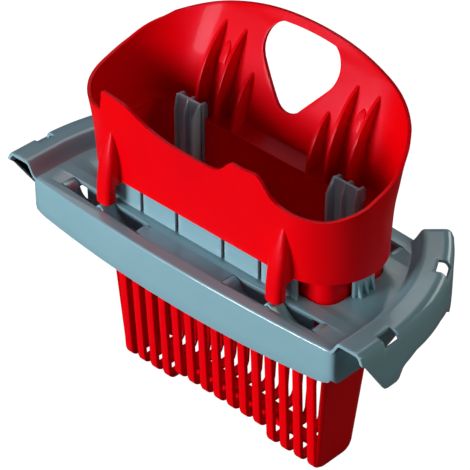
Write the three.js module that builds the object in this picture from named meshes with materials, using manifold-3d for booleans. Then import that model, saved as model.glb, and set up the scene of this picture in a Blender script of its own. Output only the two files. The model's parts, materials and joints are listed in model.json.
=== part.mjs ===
// A press wringer for a folding flat mop, made to hang on the rim of an oval bucket.
// A sprung hopper takes the folded mop and slides down over a slit collar on the grey frame.
// The water drains through a slotted basket that hangs under the frame.
// Millimetres, +Z up, +X along the long side. The origin is the middle of the basket's flat foot.
import * as THREE from "three";
import { mergeVertices } from "three/addons/utils/BufferGeometryUtils.js";
import Module from "manifold-3d";

const wasm = await Module();
wasm.setup();

// ---- Driving dimensions -------------------------------------------------------------------
const WALL = 2.2; // moulded wall
const GAP = 0.3; // air between neighbouring pieces
const ARC_STEPS = 10; // facets in a quarter turn
const WELD = 1e-3; // points this close are one point

const DECK_TOP = 132.5; // deck above the basket's foot
const DECK_THICKNESS = 2.2;
const FRONT_MIDDLE_Y = -58; // the front edge is bowed forward
const FRONT_CORNER_Y = -53;
const FRONT_CORNER_X = 119.5;
const REAR_MIDDLE_Y = 60;
const SKIRT_MIDDLE_DROP = 28.5;
const SKIRT_END_DROP = 24;
const BOW_STEPS = 20;

const RIM_CENTRE_Y = -28; // the bucket's round end is struck from here
const WELL_RADIUS = 121.5; // inner wall of the rim hooks
const STEP_RADIUS = 118.5; // the hook begins to rise here
const CREST_RADIUS = 125;
const TOP_EDGE_RADIUS = 139;
const HOOK_RADIUS = 143; // outer face of the rim hooks
const HOOK_RISE = 8.5; // hook top above the deck
const HOOK_DROP = 15; // outer skirt below the deck
const TAB_DROP = 25; // the same at a locating tab
const HOOK_END_RISE = 3; // where the slanted ends of the outer skirt begin
const HOOK_END_DEGREES = 44.4;
const TAB_START = 20; // from each end of a hook, along it
const TAB_LENGTH = 11;
const TAB_SHOULDER = 4;
const HOOK_HOLE_LENGTH = 12;
const HOOK_HOLE_START = 19;
const HOOK_HOLE_RADIUS = 135; // where the hole begins on the hook's top
const HOOK_HOLE_FLOOR = 4; // how far down the corner it reaches, above the deck

const SLOT_INSET = { front: 7.7, rear: 10.2 }; // spring slots inside the deck's edges
const SLOT_WIDTH = 10.6;
const SLOT_INNER_X = 33;
const SLOT_OUTER_X = { front: 103, rear: 86 };
const SPRING_THICKNESS = 1.6;
const SPRING_SIDE_GAP = 0.6;
const SPRING_DIP = 9;
const CURTAIN_DROP = 20; // walls under the deck, along the inner side of each slot
const CURTAIN_THICKNESS = 1.6;
const CURTAIN_END_X = 95;
const CURTAIN_GAP = 0.4;

const NECK_HALF_X = 92.8;
const NECK_HALF_Y = 26;
const NECK_CORNER = 10;
const NECK_RISE = 34; // basket neck above the deck
const NECK_CLEARANCE = 1;
const FOOT_HALF_X = 81.5;
const FOOT_FRONT_Y = 19.6; // the front wall tapers less than the back wall
const FOOT_BACK_Y = 16.8;
const FOOT_CORNER = 3;
const FOOT_THICKNESS = 3;
const SLAT_COUNT = 15;
const SLAT_PITCH = 11.25;
const SLAT_WIDTH = 6.4;
const MIDDLE_HALF_X = 39.7; // between the two ends the basket's floor is raised
const MIDDLE_RISE = 7;
const KEEL_HALF_WIDTH = 4; // bar that joins the slats under the basket
const FINEST_CORNER = 0.6; // inside corners stay at least this round
const SLOT_TOP_DROP = 30; // basket slots begin this far below the deck

const SLEEVE_HALF_X = 104; // hopper at its lower edge, a stadium in plan
const SLEEVE_HALF_Y = 36;
const SLEEVE_BOTTOM = 16.5; // above the deck
const OPENING_TOP = 99.5; // the opening in the back wall, above the deck
const OPENING_TOP_X = 17;
const OPENING_HALF_X = 33;
const OPENING_FOOT = 59;
const OPENING_FOOT_X = 6;
const LEDGE_BOTTOM = NECK_RISE + GAP; // the hopper's inner ledge stands on the basket's neck
const LEDGE_TOP = LEDGE_BOTTOM + 2.2;
const BACK_PEAK = 108.6; // top of the back wall above the deck
const BACK_ARC_DROP = 0.0025; // fall of that edge, per mm squared from the middle
const BACK_ARC_HALF_X = 112;
const BACK_ARC_START_Y = 32;

const COLLAR_FACE_Y = 33.2;
const COLLAR_THICKNESS = 2.2;
const COLLAR_HEIGHT = 19;
const COLLAR_CENTRE_X = SLEEVE_HALF_X - SLEEVE_HALF_Y; // the sleeve's round ends turn about here
const COLLAR_SLITS = [18.6, 47.5];
const SLIT_WIDTH = 2.4;
const OUTER_FINGER_DEGREES = 13; // how far the outer fingers follow the round end
const COLLAR_END_X = 97.2; // outer face of the plates at the collar's ends
const COLLAR_END_HALF_Y = 8.6;
const GUSSET_PITCH = 5.4;
const GUSSET_REACH = 3;
const GUSSET_HEIGHT = 9;
const GUSSET_THICKNESS = 1.6;

const TOWER_X = 62.6;
const TOWER_HALF_X = 9.9;
const TOWER_HEIGHT = 47;
const TOWER_PLATE_Y = 21;
const TOWER_PLATE = 1.8;
const TOWER_RIB_FRONT_Y = 14.8;
const TOWER_RIB_SLOPE = 9; // the front ribs reach full depth this far below the top
const TOWER_FIN_BACK_Y = 28;
const TOWER_FOOT_BACK_Y = 30.4;
const TOWER_FOOT_RISE = 3;

const LEG_X = { front: 68.2, rear: 59.5 };
const LEG_HALF_WIDTH = 5.8;
const LEG_INNER_Y = 39.8;
const LEG_OUTER_Y = 47.2;
const LEG_PEAK = 48.7;
const LEG_SPRING = 27; // the pointed arch starts at this height
const LEG_STEPS = 6;

const RIB_THICKNESS = 2;
const RIB_BOTTOM = LEDGE_TOP - 0.5;
const LONG_RIBS_X = [43.7, 59.6];
const SHORT_RIBS_X = [30];
const LONG_RIB_EDGE = [[24.6, RIB_BOTTOM], [25.2, 47], [29.4, 63], [38, 78], [52, 92.5]];
const SHORT_RIB_EDGE = [[24.6, RIB_BOTTOM], [26.4, 47], [32.5, 61], [42, 71]];
const CATCH_X = 52.8; // a low catch between each pair of long ribs
const CATCH_WIDTH = 8.4;
const CATCH_EDGE = [[39.2, 68], [45.6, 80.5]];

const RED = { color: 0xc80005, roughness: 0.3, metalness: 0 };
const GREY = { color: 0x7b929b, roughness: 0.25, metalness: 0 };

// ---- Small tools --------------------------------------------------------------------------
const radians = THREE.MathUtils.degToRad;
const lerp = THREE.MathUtils.lerp;

function solid(geometry) {
  const bare = geometry.index ? geometry.toNonIndexed() : geometry.clone();
  bare.deleteAttribute("normal");
  bare.deleteAttribute("uv");
  const merged = mergeVertices(bare, WELD);
  return new wasm.Manifold(
    new wasm.Mesh({
      numProp: 3,
      vertProperties: merged.attributes.position.array,
      triVerts: new Uint32Array(merged.index.array),
    }),
  );
}

function part(name, body, finish) {
  const shape = body.getMesh();
  const geometry = new THREE.BufferGeometry();
  geometry.setAttribute("position", new THREE.BufferAttribute(shape.vertProperties, 3));
  geometry.setIndex(new THREE.BufferAttribute(shape.triVerts, 1));
  geometry.computeVertexNormals();
  const mesh = new THREE.Mesh(geometry, new THREE.MeshStandardMaterial(finish));
  mesh.name = name;
  return mesh;
}

// A closed solid through rings of equal length. The first ring's outline caps both ends.
// The rings run anticlockwise about the direction in which they follow each other.
function loft(rings, outline) {
  const count = rings[0].length;
  const positions = rings.flat().flatMap((p) => [p.x, p.y, p.z]);
  const index = [];
  for (let r = 0; r + 1 < rings.length; r += 1) {
    for (let i = 0; i < count; i += 1) {
      const j = (i + 1) % count;
      const low = r * count;
      const high = low + count;
      index.push(low + i, low + j, high + j, low + i, high + j, high + i);
    }
  }
  const last = (rings.length - 1) * count;
  const turned = THREE.ShapeUtils.isClockWise(outline);
  for (const face of THREE.ShapeUtils.triangulateShape(outline, [])) {
    const [a, b, c] = turned ? [...face].reverse() : face;
    index.push(c, b, a, last + a, last + b, last + c);
  }
  const geometry = new THREE.BufferGeometry();
  geometry.setAttribute("position", new THREE.Float32BufferAttribute(positions, 3));
  geometry.setIndex(index);
  return solid(geometry);
}

function box(x0, x1, y0, y1, z0, z1) {
  const geometry = new THREE.BoxGeometry(x1 - x0, y1 - y0, z1 - z0);
  return solid(geometry.translate((x0 + x1) / 2, (y0 + y1) / 2, (z0 + z1) / 2));
}

function extrusion(shape, depth) {
  return new THREE.ExtrudeGeometry(shape, { depth, bevelEnabled: false, curveSegments: ARC_STEPS });
}

// A prism whose outline is given in Y and Z, from x0 to x1.
function prismAlongX(points, x0, x1) {
  const shape = new THREE.Shape(points.map(([y, z]) => new THREE.Vector2(y, z)));
  const turn = new THREE.Matrix4().makeBasis(
    new THREE.Vector3(0, 1, 0),
    new THREE.Vector3(0, 0, 1),
    new THREE.Vector3(1, 0, 0),
  );
  return solid(extrusion(shape, x1 - x0).applyMatrix4(turn).translate(x0, 0, 0));
}

// A prism whose outline is given in X and Z, from y0 to y1.
function prismAlongY(shape, y0, y1) {
  const turn = new THREE.Matrix4().makeBasis(
    new THREE.Vector3(1, 0, 0),
    new THREE.Vector3(0, 0, 1),
    new THREE.Vector3(0, -1, 0),
  );
  return solid(extrusion(shape, y1 - y0).applyMatrix4(turn).translate(0, y1, 0));
}

function prismAlongZ(shape, z0, z1) {
  return solid(extrusion(shape, z1 - z0).translate(0, 0, z0));
}

function polygon(points) {
  return new THREE.Shape(points.map(([x, y]) => new THREE.Vector2(x, y)));
}

function join(bodies) {
  return bodies.reduce((whole, next) => whole.add(next));
}

function cutAway(body, tools) {
  return tools.reduce((left, tool) => left.subtract(tool), body);
}

// Linear reading of a table of [key, value] rows.
function read(table, key) {
  const next = table.findIndex(([k]) => k >= key);
  if (next === 0) return table[0][1];
  if (next < 0) return table[table.length - 1][1];
  const [k0, v0] = table[next - 1];
  const [k1, v1] = table[next];
  return lerp(v0, v1, (key - k0) / (k1 - k0));
}

function mirrorX(body) {
  return body.mirror([1, 0, 0]);
}

// ---- Deck and skirts ----------------------------------------------------------------------
function frontEdge(x) {
  return lerp(FRONT_MIDDLE_Y, FRONT_CORNER_Y, (x / FRONT_CORNER_X) ** 2);
}

function rearEdge(x) {
  return REAR_MIDDLE_Y - (frontEdge(x) - FRONT_MIDDLE_Y);
}

const HOOK_END = radians(HOOK_END_DEGREES);

// The rear corner is where the rear edge meets the well's round wall.
function rearCornerAngle(inset) {
  const radius = WELL_RADIUS - inset;
  const angles = Array.from({ length: 400 }, (_, i) => (i / 400) * (Math.PI / 2));
  const behind = (a) => RIM_CENTRE_Y + radius * Math.sin(a) > rearEdge(radius * Math.cos(a)) - inset;
  return angles.find(behind);
}

function bow(edge, fromX, toX) {
  return Array.from({ length: BOW_STEPS + 1 }, (_, i) => {
    const x = lerp(fromX, toX, i / BOW_STEPS);
    return [x, edge(x)];
  });
}

function deckOutline(inset) {
  const radius = WELL_RADIUS - inset;
  const endAngle = rearCornerAngle(inset);
  const cornerX = radius * Math.cos(endAngle);
  const sideSteps = Array.from({ length: ARC_STEPS }, (_, i) => (i / ARC_STEPS) * endAngle);
  const right = sideSteps.map((a) => [radius * Math.cos(a), RIM_CENTRE_Y + radius * Math.sin(a)]);
  const left = right.map(([x, y]) => [-x, y]).reverse();
  return polygon([
    ...bow((x) => frontEdge(x) + inset, -radius, radius),
    ...right,
    ...bow((x) => rearEdge(x) - inset, cornerX, -cornerX),
    ...left,
  ]);
}

function slotShape(side) {
  const edge = side === "front" ? frontEdge : rearEdge;
  const inward = side === "front" ? 1 : -1;
  const x0 = SLOT_INNER_X;
  const x1 = SLOT_OUTER_X[side];
  const near = SLOT_INSET[side];
  const far = near + SLOT_WIDTH;
  return polygon([
    [x0, edge(x0) + inward * near],
    [x1, edge(x1) + inward * near],
    [x1, edge(x1) + inward * far],
    [x0, edge(x0) + inward * far],
  ]);
}

function roundedRectangle(halfX, halfY, radius) {
  const shape = new THREE.Shape();
  shape.absarc(halfX - radius, halfY - radius, radius, 0, Math.PI / 2);
  shape.absarc(radius - halfX, halfY - radius, radius, Math.PI / 2, Math.PI);
  shape.absarc(radius - halfX, radius - halfY, radius, Math.PI, 1.5 * Math.PI);
  shape.absarc(halfX - radius, radius - halfY, radius, 1.5 * Math.PI, 2 * Math.PI);
  shape.closePath();
  return shape;
}

// Lower edge of the skirts: it sinks towards the middle of the long sides.
function hem(x) {
  return -lerp(SKIRT_MIDDLE_DROP, SKIRT_END_DROP, (x / FRONT_CORNER_X) ** 2);
}

// An upturned tray: the deck with a skirt along each long edge and a wall at each round end.
function tray() {
  const deep = -2 * SKIRT_MIDDLE_DROP;
  const inside = prismAlongZ(deckOutline(WALL), deep - 1, -DECK_THICKNESS);
  const underHem = polygon([
    [-HOOK_RADIUS, deep - 1],
    [HOOK_RADIUS, deep - 1],
    ...bow(hem, HOOK_RADIUS, -HOOK_RADIUS),
  ]);
  const holeX = NECK_HALF_X + NECK_CLEARANCE;
  const neckHole = roundedRectangle(holeX, NECK_HALF_Y + NECK_CLEARANCE, NECK_CORNER);
  const cuts = [
    inside,
    prismAlongY(underHem, -2 * REAR_MIDDLE_Y, 2 * REAR_MIDDLE_Y),
    prismAlongZ(neckHole, -2 * DECK_THICKNESS, DECK_THICKNESS),
  ];
  for (const side of ["front", "rear"]) {
    const slot = prismAlongZ(slotShape(side), -2 * DECK_THICKNESS, DECK_THICKNESS);
    cuts.push(slot, mirrorX(slot));
  }
  return cutAway(prismAlongZ(deckOutline(0), deep, 0), cuts);
}

// A curtain hangs from the deck beside each slot, between the spring and the basket.
function curtain(side) {
  const edge = side === "front" ? frontEdge : rearEdge;
  const inward = side === "front" ? 1 : -1;
  const near = SLOT_INSET[side] + SLOT_WIDTH + CURTAIN_GAP;
  const x0 = SLOT_INNER_X;
  const x1 = Math.min(SLOT_OUTER_X[side], CURTAIN_END_X);
  const outline = polygon([
    [x0, edge(x0) + inward * near],
    [x1, edge(x1) + inward * near],
    [x1, edge(x1) + inward * (near + CURTAIN_THICKNESS)],
    [x0, edge(x0) + inward * (near + CURTAIN_THICKNESS)],
  ]);
  return prismAlongZ(outline, -CURTAIN_DROP, -DECK_THICKNESS / 2);
}

// ---- Rim hooks ----------------------------------------------------------------------------
const HOOK_STRAIGHT = RIM_CENTRE_Y - FRONT_CORNER_Y;
const HOOK_LENGTH = HOOK_STRAIGHT + HOOK_RADIUS * HOOK_END;

// Lower edge of the outer skirt at a distance along the hook, measured from its front end.
function hookHem(along) {
  const fromEnd = Math.min(along, HOOK_LENGTH - along);
  return read(
    [
      [0, HOOK_END_RISE],
      [TAB_START, -TAB_DROP],
      [TAB_START + TAB_LENGTH, -TAB_DROP],
      [TAB_START + TAB_LENGTH + TAB_SHOULDER, -HOOK_DROP],
    ],
    fromEnd,
  );
}

// The hook's section: a sloping step up from the deck, flat top, rounded shoulder and outer skirt.
function hookSection(along) {
  const top = HOOK_RISE;
  const low = hookHem(along) - 1;
  return [
    [STEP_RADIUS, -1],
    [WELL_RADIUS - 0.4, -1],
    [CREST_RADIUS + WALL, top - WALL],
    [TOP_EDGE_RADIUS - 1, top - WALL],
    [HOOK_RADIUS - WALL, HOOK_END_RISE - 1],
    [HOOK_RADIUS - WALL, low],
    [HOOK_RADIUS, low],
    [HOOK_RADIUS, HOOK_END_RISE],
    [HOOK_RADIUS - 1.4, 6.4],
    [TOP_EDGE_RADIUS, top],
    [CREST_RADIUS, top],
    [WELL_RADIUS - 0.4, 2.6],
    [STEP_RADIUS, 0],
  ];
}

// The place along the hook for a point at a radius: straight first, then round the bucket's end.
function hookPoint(along, radius, z) {
  if (along <= HOOK_STRAIGHT) return new THREE.Vector3(radius, FRONT_CORNER_Y + along, z);
  const angle = (along - HOOK_STRAIGHT) / HOOK_RADIUS;
  return new THREE.Vector3(
    radius * Math.cos(angle),
    RIM_CENTRE_Y + radius * Math.sin(angle),
    z,
  );
}

function hookStations() {
  const breaks = [0, TAB_START, TAB_START + TAB_LENGTH, TAB_START + TAB_LENGTH + TAB_SHOULDER];
  const ends = breaks.flatMap((b) => [b, HOOK_LENGTH - b]);
  const middle = Array.from({ length: 9 }, (_, i) => lerp(44, HOOK_LENGTH - 40, i / 8));
  const sweep = [HOOK_STRAIGHT, HOOK_LENGTH - 7, HOOK_LENGTH - 14, HOOK_LENGTH - 26];
  return [...ends, ...middle, ...sweep].sort((a, b) => a - b);
}

function hookHole(start) {
  const rings = [0, 0.5, 1].map((t) => {
    const along = start + t * HOOK_HOLE_LENGTH;
    return [
      hookPoint(along, HOOK_HOLE_RADIUS, HOOK_HOLE_FLOOR),
      hookPoint(along, HOOK_RADIUS + WALL, HOOK_HOLE_FLOOR),
      hookPoint(along, HOOK_RADIUS + WALL, 2 * HOOK_RISE),
      hookPoint(along, HOOK_HOLE_RADIUS, 2 * HOOK_RISE),
    ].reverse();
  });
  const outline = [[0, 0], [1, 0], [1, 1], [0, 1]].reverse();
  return loft(rings, outline.map(([x, y]) => new THREE.Vector2(x, y)));
}

function rimHook() {
  const rings = hookStations().map((along) =>
    hookSection(along)
      .map(([radius, z]) => hookPoint(along, radius, z))
      .reverse(),
  );
  const outline = hookSection(0)
    .map(([radius, z]) => new THREE.Vector2(radius, z))
    .reverse();
  const holes = [HOOK_HOLE_START, HOOK_LENGTH - HOOK_HOLE_START - HOOK_HOLE_LENGTH].map(hookHole);
  return cutAway(loft(rings, outline), holes);
}

// ---- Leaf springs -------------------------------------------------------------------------
// Height of a leaf along its slot, 0 at a root and 1 under the leg.
function springHeight(t) {
  const table = [
    [0, -1.1],
    [0.1, -0.9],
    [0.3, -5.4],
    [0.44, -SPRING_DIP],
    [0.58, -SPRING_DIP],
    [0.84, -4.4],
    [0.95, -1.4],
    [1, -0.8],
  ];
  return read(table, t);
}

function leafSpring(side) {
  const edge = side === "front" ? frontEdge : rearEdge;
  const inward = side === "front" ? 1 : -1;
  const x0 = SLOT_INNER_X + GAP;
  const x1 = SLOT_OUTER_X[side] - GAP;
  const middle = (x0 + x1) / 2;
  const rings = [];
  const steps = 28;
  for (let i = 0; i <= steps; i += 1) {
    const x = lerp(x0, x1, i / steps);
    const z = springHeight(1 - Math.abs(x - middle) / (middle - x0));
    const a = edge(x) + inward * (SLOT_INSET[side] + SPRING_SIDE_GAP);
    const b = edge(x) + inward * (SLOT_INSET[side] + SLOT_WIDTH - SPRING_SIDE_GAP);
    const low = Math.min(a, b);
    const high = Math.max(a, b);
    rings.push([
      new THREE.Vector3(x, low, z - SPRING_THICKNESS / 2),
      new THREE.Vector3(x, high, z - SPRING_THICKNESS / 2),
      new THREE.Vector3(x, high, z + SPRING_THICKNESS / 2),
      new THREE.Vector3(x, low, z + SPRING_THICKNESS / 2),
    ]);
  }
  return loft(rings, rings[0].map((p) => new THREE.Vector2(p.y, p.z)));
}

// ---- Collar -------------------------------------------------------------------------------
function collarSector(fromDegrees, toDegrees) {
  const shape = new THREE.Shape();
  const a = radians(fromDegrees);
  const b = radians(toDegrees);
  shape.absarc(COLLAR_CENTRE_X, 0, COLLAR_FACE_Y, a, b, false);
  shape.absarc(COLLAR_CENTRE_X, 0, COLLAR_FACE_Y - COLLAR_THICKNESS, b, a, true);
  shape.closePath();
  return prismAlongZ(shape, GAP, COLLAR_HEIGHT);
}

function collarPlate(x0, x1) {
  return box(x0, x1, -COLLAR_FACE_Y, COLLAR_THICKNESS - COLLAR_FACE_Y, GAP, COLLAR_HEIGHT);
}

// The front row of fingers, from left to right.
function frontFingers() {
  const [inner, outer] = COLLAR_SLITS;
  const half = SLIT_WIDTH / 2;
  const middle = collarPlate(half - inner, inner - half);
  const right = collarPlate(inner + half, outer - half);
  const bend = collarSector(-90, OUTER_FINGER_DEGREES - 90);
  const rightEnd = join([collarPlate(outer + half, COLLAR_CENTRE_X), bend]);
  return [mirrorX(rightEnd), mirrorX(right), middle, right, rightEnd];
}

// A short plate stands across each end of the collar, braced on its outer side by three gussets.
function collarEnd() {
  const plate = box(
    COLLAR_END_X - COLLAR_THICKNESS,
    COLLAR_END_X,
    -COLLAR_END_HALF_Y,
    COLLAR_END_HALF_Y,
    GAP,
    COLLAR_HEIGHT,
  );
  const outline = polygon([
    [COLLAR_END_X - 1, GAP],
    [COLLAR_END_X + GUSSET_REACH, GAP],
    [COLLAR_END_X, GAP + GUSSET_HEIGHT],
    [COLLAR_END_X - 1, GAP + GUSSET_HEIGHT],
  ]);
  const half = GUSSET_THICKNESS / 2;
  const gussets = [-GUSSET_PITCH, 0, GUSSET_PITCH].map((y) => prismAlongY(outline, y - half, y + half));
  return join([plate, ...gussets]);
}

// ---- Guide towers -------------------------------------------------------------------------
function guideTower() {
  const x0 = TOWER_X - TOWER_HALF_X;
  const x1 = TOWER_X + TOWER_HALF_X;
  const plateBack = TOWER_PLATE_Y + TOWER_PLATE;
  const pieces = [
    box(x0, x1, TOWER_PLATE_Y, plateBack, GAP, TOWER_HEIGHT),
    box(x0, x1, TOWER_PLATE_Y, TOWER_FOOT_BACK_Y, GAP, TOWER_FOOT_RISE),
  ];
  const ribOutline = [
    [plateBack, GAP],
    [plateBack, TOWER_HEIGHT],
    [TOWER_PLATE_Y, TOWER_HEIGHT],
    [TOWER_RIB_FRONT_Y, TOWER_HEIGHT - TOWER_RIB_SLOPE],
    [TOWER_RIB_FRONT_Y, GAP],
  ];
  for (const x of [x0, TOWER_X - TOWER_PLATE / 2, x1 - TOWER_PLATE]) {
    pieces.push(prismAlongX(ribOutline, x, x + TOWER_PLATE));
    pieces.push(box(x, x + TOWER_PLATE, TOWER_PLATE_Y, TOWER_FIN_BACK_Y, GAP, TOWER_HEIGHT - 1));
  }
  return join(pieces);
}

// ---- Drain basket -------------------------------------------------------------------------
function basketRing(z, inset) {
  const t = Math.min(1, Math.max(0, -z / DECK_TOP));
  const halfX = lerp(NECK_HALF_X, FOOT_HALF_X, t) - inset;
  const front = lerp(NECK_HALF_Y, FOOT_FRONT_Y, t) - inset;
  const back = lerp(NECK_HALF_Y, FOOT_BACK_Y, t) - inset;
  const radius = Math.max(FINEST_CORNER, lerp(NECK_CORNER, FOOT_CORNER, t) - inset);
  const shape = roundedRectangle(halfX, (front + back) / 2, radius);
  return shape.getPoints(4).map((p) => new THREE.Vector3(p.x, p.y + (back - front) / 2, z));
}

function basketLoft(low, high, inset) {
  const rings = [low, Math.min(0, high), high]
    .filter((z, i, all) => i === 0 || z > all[i - 1])
    .map((z) => basketRing(z, inset));
  return loft(rings, rings[0].map((p) => new THREE.Vector2(p.x, p.y)));
}

// Room for a tower: it stands through the back of the neck and through the hopper's ledge.
function towerRoom(x, low, high) {
  const half = TOWER_HALF_X + 1;
  return box(x - half, x + half, TOWER_RIB_FRONT_Y - 1, TOWER_FIN_BACK_Y + 1, low, high);
}

function drainBasket() {
  const shell = basketLoft(-DECK_TOP, NECK_RISE, 0);
  const reach = NECK_HALF_Y + 1;
  const foot = -DECK_TOP - 1;
  const raised = MIDDLE_RISE - DECK_TOP;
  const step = box(
    -MIDDLE_HALF_X - WALL,
    MIDDLE_HALF_X + WALL,
    -reach,
    reach,
    foot,
    raised + FOOT_THICKNESS,
  );
  const hollow = cutAway(basketLoft(FOOT_THICKNESS - DECK_TOP, NECK_RISE + 1, WALL), [step]);
  const cuts = [
    hollow,
    box(-MIDDLE_HALF_X, MIDDLE_HALF_X, -reach, -KEEL_HALF_WIDTH, foot, raised),
    box(-MIDDLE_HALF_X, MIDDLE_HALF_X, KEEL_HALF_WIDTH, reach, foot, raised),
  ];
  for (let i = 0; i + 1 < SLAT_COUNT; i += 1) {
    const x = (i - (SLAT_COUNT - 2) / 2) * SLAT_PITCH;
    const half = (SLAT_PITCH - SLAT_WIDTH) / 2;
    cuts.push(box(x - half, x + half, -reach, -KEEL_HALF_WIDTH, foot, -SLOT_TOP_DROP));
    cuts.push(box(x - half, x + half, KEEL_HALF_WIDTH, reach, foot, -SLOT_TOP_DROP));
  }
  const rooms = [-TOWER_X, TOWER_X].map((x) => towerRoom(x, -1, NECK_RISE + 1));
  return cutAway(shell, [...cuts, ...rooms]);
}

// ---- Hopper -------------------------------------------------------------------------------
// Rows of height above the deck, half length, front depth, back depth, front and back corner radius.
const HOPPER_ROWS = [
  [SLEEVE_BOTTOM, SLEEVE_HALF_X, SLEEVE_HALF_Y, SLEEVE_HALF_Y, 35.9, 35.9],
  [36, 104.4, 36.4, 36.8, 35, 36.4],
  [50, 105.2, 37.2, 38.6, 34, 38],
  [62, 106.2, 38.2, 41.5, 33, 39.5],
  [72, 106.8, 39, 45, 33, 42],
  [84, 107.4, 39.8, 50.2, 33, 44],
  [96, 107.8, 40.4, 56.2, 33, 46],
  [BACK_PEAK + 1, 108.2, 41, 62.4, 33, 48],
];

function hopperRing(row, inset) {
  const [z, halfX, front, back, frontRadius, backRadius] = row;
  const x = halfX - inset;
  const rf = frontRadius - inset;
  const rb = backRadius - inset;
  const shape = new THREE.Shape();
  shape.absarc(x - rb, back - inset - rb, rb, 0, Math.PI / 2);
  shape.absarc(rb - x, back - inset - rb, rb, Math.PI / 2, Math.PI);
  shape.absarc(rf - x, rf + inset - front, rf, Math.PI, 1.5 * Math.PI);
  shape.absarc(x - rf, rf + inset - front, rf, 1.5 * Math.PI, 2 * Math.PI);
  shape.closePath();
  return shape.getPoints(ARC_STEPS).map((p) => new THREE.Vector3(p.x, p.y, z));
}

function hopperLoft(inset, below) {
  const rows = HOPPER_ROWS.map(([z, ...rest], i) => [
    i === 0 ? z - below : i === HOPPER_ROWS.length - 1 ? z + below : z,
    ...rest,
  ]);
  const rings = rows.map((row) => hopperRing(row, inset));
  return loft(rings, rings[0].map((p) => new THREE.Vector2(p.x, p.y)));
}

// Everything under the rim: a side view that rises to the back, the arched back and two front fins.
function belowRim() {
  const far = 90;
  const side = [
    [-far, 0], [far, 0], [far, 86.5], [42, 86], [27, 80.5], [12.5, 73], [2.5, 69.5],
    [-14, 65], [-30, 62.3], [-far, 62],
  ];
  const sides = prismAlongX(side, -BACK_ARC_HALF_X, BACK_ARC_HALF_X);
  const arch = bow((x) => BACK_PEAK - BACK_ARC_DROP * x * x, BACK_ARC_HALF_X, -BACK_ARC_HALF_X);
  const back = polygon([[-BACK_ARC_HALF_X, 0], [BACK_ARC_HALF_X, 0], ...arch]);
  const leftFin = polygon([
    [-73, 50], [-19, 50], [-19, 62], [-27, 64], [-36, 66.6], [-45, 70], [-55, 74.2], [-63, 75.6], [-71, 76],
  ]);
  const rightFin = polygon([
    [14, 50], [66, 50], [64, 62], [58.6, 66.6], [53.2, 74.6], [49, 77.2], [43, 75.4], [31, 75],
    [26, 71.4], [21, 65], [14, 62],
  ]);
  return join([
    sides,
    prismAlongY(back, BACK_ARC_START_Y, far),
    prismAlongY(leftFin, -far, -20),
    prismAlongY(rightFin, -far, -20),
  ]);
}

// A plain rounded opening in the back wall, wide above and narrow below.
function backOpening() {
  const shape = new THREE.Shape();
  shape.moveTo(-OPENING_TOP_X, OPENING_TOP);
  shape.lineTo(OPENING_TOP_X, OPENING_TOP);
  shape.quadraticCurveTo(OPENING_HALF_X, OPENING_TOP, OPENING_HALF_X - 5, OPENING_TOP - 12);
  shape.lineTo(OPENING_FOOT_X, OPENING_FOOT + 5);
  shape.quadraticCurveTo(0, OPENING_FOOT - 3, -OPENING_FOOT_X, OPENING_FOOT + 5);
  shape.lineTo(5 - OPENING_HALF_X, OPENING_TOP - 12);
  shape.quadraticCurveTo(-OPENING_HALF_X, OPENING_TOP, -OPENING_TOP_X, OPENING_TOP);
  return prismAlongY(shape, BACK_ARC_START_Y, 80);
}

// A leg is a rounded pillar with a pointed head that dies into the hopper's wall.
function leg(x, side) {
  const sign = side === "front" ? -1 : 1;
  const heights = [GAP, SLEEVE_BOTTOM - 1, SLEEVE_BOTTOM + 2];
  for (let i = 0; i <= LEG_STEPS; i += 1) {
    heights.push(lerp(LEG_SPRING, LEG_PEAK, Math.sin((i / LEG_STEPS) * (Math.PI / 2))));
  }
  const ringAt = (z) => {
    const rise = Math.max(0, (z - LEG_SPRING) / (LEG_PEAK - LEG_SPRING));
    const half = Math.max(0.4, LEG_HALF_WIDTH * Math.sqrt(1 - rise ** 1.5));
    const inner = z < SLEEVE_BOTTOM ? LEG_INNER_Y : SLEEVE_HALF_Y - 1;
    const outer = lerp(LEG_OUTER_Y, SLEEVE_HALF_Y + 1, (z / LEG_PEAK) ** 2.2);
    const round = [0, 30, 60, 90, 120, 150, 180].map((d) => [
      x + half * Math.cos(radians(d)),
      outer - half * 0.8 + half * 0.8 * Math.sin(radians(d)),
    ]);
    const points = [[x - half, inner], [x + half, inner], ...round];
    const ring = points.map(([px, py]) => new THREE.Vector3(px, sign * py, z));
    return sign > 0 ? ring : ring.reverse();
  };
  const rings = heights.map(ringAt);
  return loft(rings, rings[0].map((p) => new THREE.Vector2(p.x, p.y)));
}

// A rib or catch on the back wall. Its free edge is given in Y and Z, and it runs through the wall.
function backRib(x, edge, thickness) {
  const [, bottom] = edge[0];
  const [, top] = edge[edge.length - 1];
  const outline = [...edge, [REAR_MIDDLE_Y, top], [REAR_MIDDLE_Y, bottom]];
  return prismAlongX(outline.reverse(), x - thickness / 2, x + thickness / 2);
}

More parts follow.
